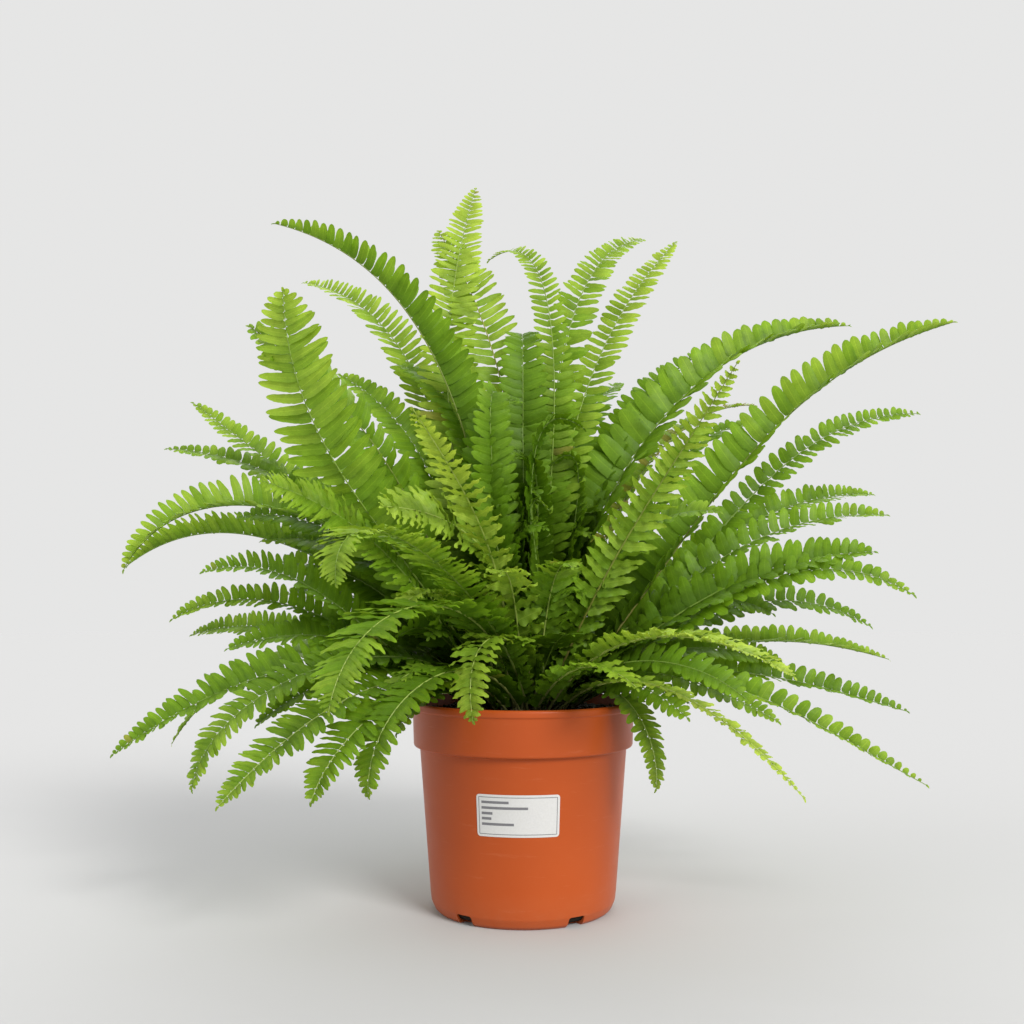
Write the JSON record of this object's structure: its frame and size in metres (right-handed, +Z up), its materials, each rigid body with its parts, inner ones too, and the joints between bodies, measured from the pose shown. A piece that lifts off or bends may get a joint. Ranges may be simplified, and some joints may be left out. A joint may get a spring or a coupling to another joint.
{
  "type": "potted boston fern",
  "caption": "Boston fern with long arching pinnate fronds, growing from dark soil in a tapered round nursery pot with a rim band and a plain label.",
  "frame": {"origin": "on the pot's axis, at the surface that the pot stands on", "axes": "+Z up along the pot's axis; -Y towards the front, where the label is; +X to the right of someone who looks at the front"},
  "size_m": [0.7533, 0.5582, 0.6532],
  "materials": {
    "pot": "semi-gloss terracotta-coloured plastic",
    "label": "smooth white paper",
    "soil": "dark, rough, granular compost",
    "foliage": "satin green leaf"
  },
  "bodies": {
    "root": {"pot": "pot", "label": "label", "soil": "soil", "frond_01": "foliage", "frond_02": "foliage", "frond_03": "foliage", "frond_04": "foliage", "frond_05": "foliage", "frond_06": "foliage", "frond_07": "foliage", "frond_08": "foliage", "frond_09": "foliage", "frond_10": "foliage", "frond_11": "foliage", "frond_12": "foliage", "frond_13": "foliage", "frond_14": "foliage", "frond_15": "foliage", "frond_16": "foliage", "frond_17": "foliage", "frond_18": "foliage", "frond_19": "foliage", "frond_20": "foliage", "frond_21": "foliage", "frond_22": "foliage", "frond_23": "foliage", "frond_24": "foliage", "frond_25": "foliage", "frond_26": "foliage", "frond_27": "foliage", "frond_28": "foliage", "frond_29": "foliage", "frond_30": "foliage", "frond_31": "foliage", "frond_32": "foliage", "frond_33": "foliage", "frond_34": "foliage", "frond_35": "foliage", "frond_36": "foliage", "frond_37": "foliage", "frond_38": "foliage", "frond_39": "foliage", "frond_40": "foliage", "frond_41": "foliage", "frond_42": "foliage", "frond_43": "foliage", "frond_44": "foliage", "frond_45": "foliage", "frond_46": "foliage", "frond_47": "foliage", "frond_48": "foliage", "frond_49": "foliage", "frond_50": "foliage", "frond_51": "foliage", "frond_52": "foliage", "frond_53": "foliage", "frond_54": "foliage", "frond_55": "foliage", "frond_56": "foliage", "frond_57": "foliage"}
  },
  "joints": []
}
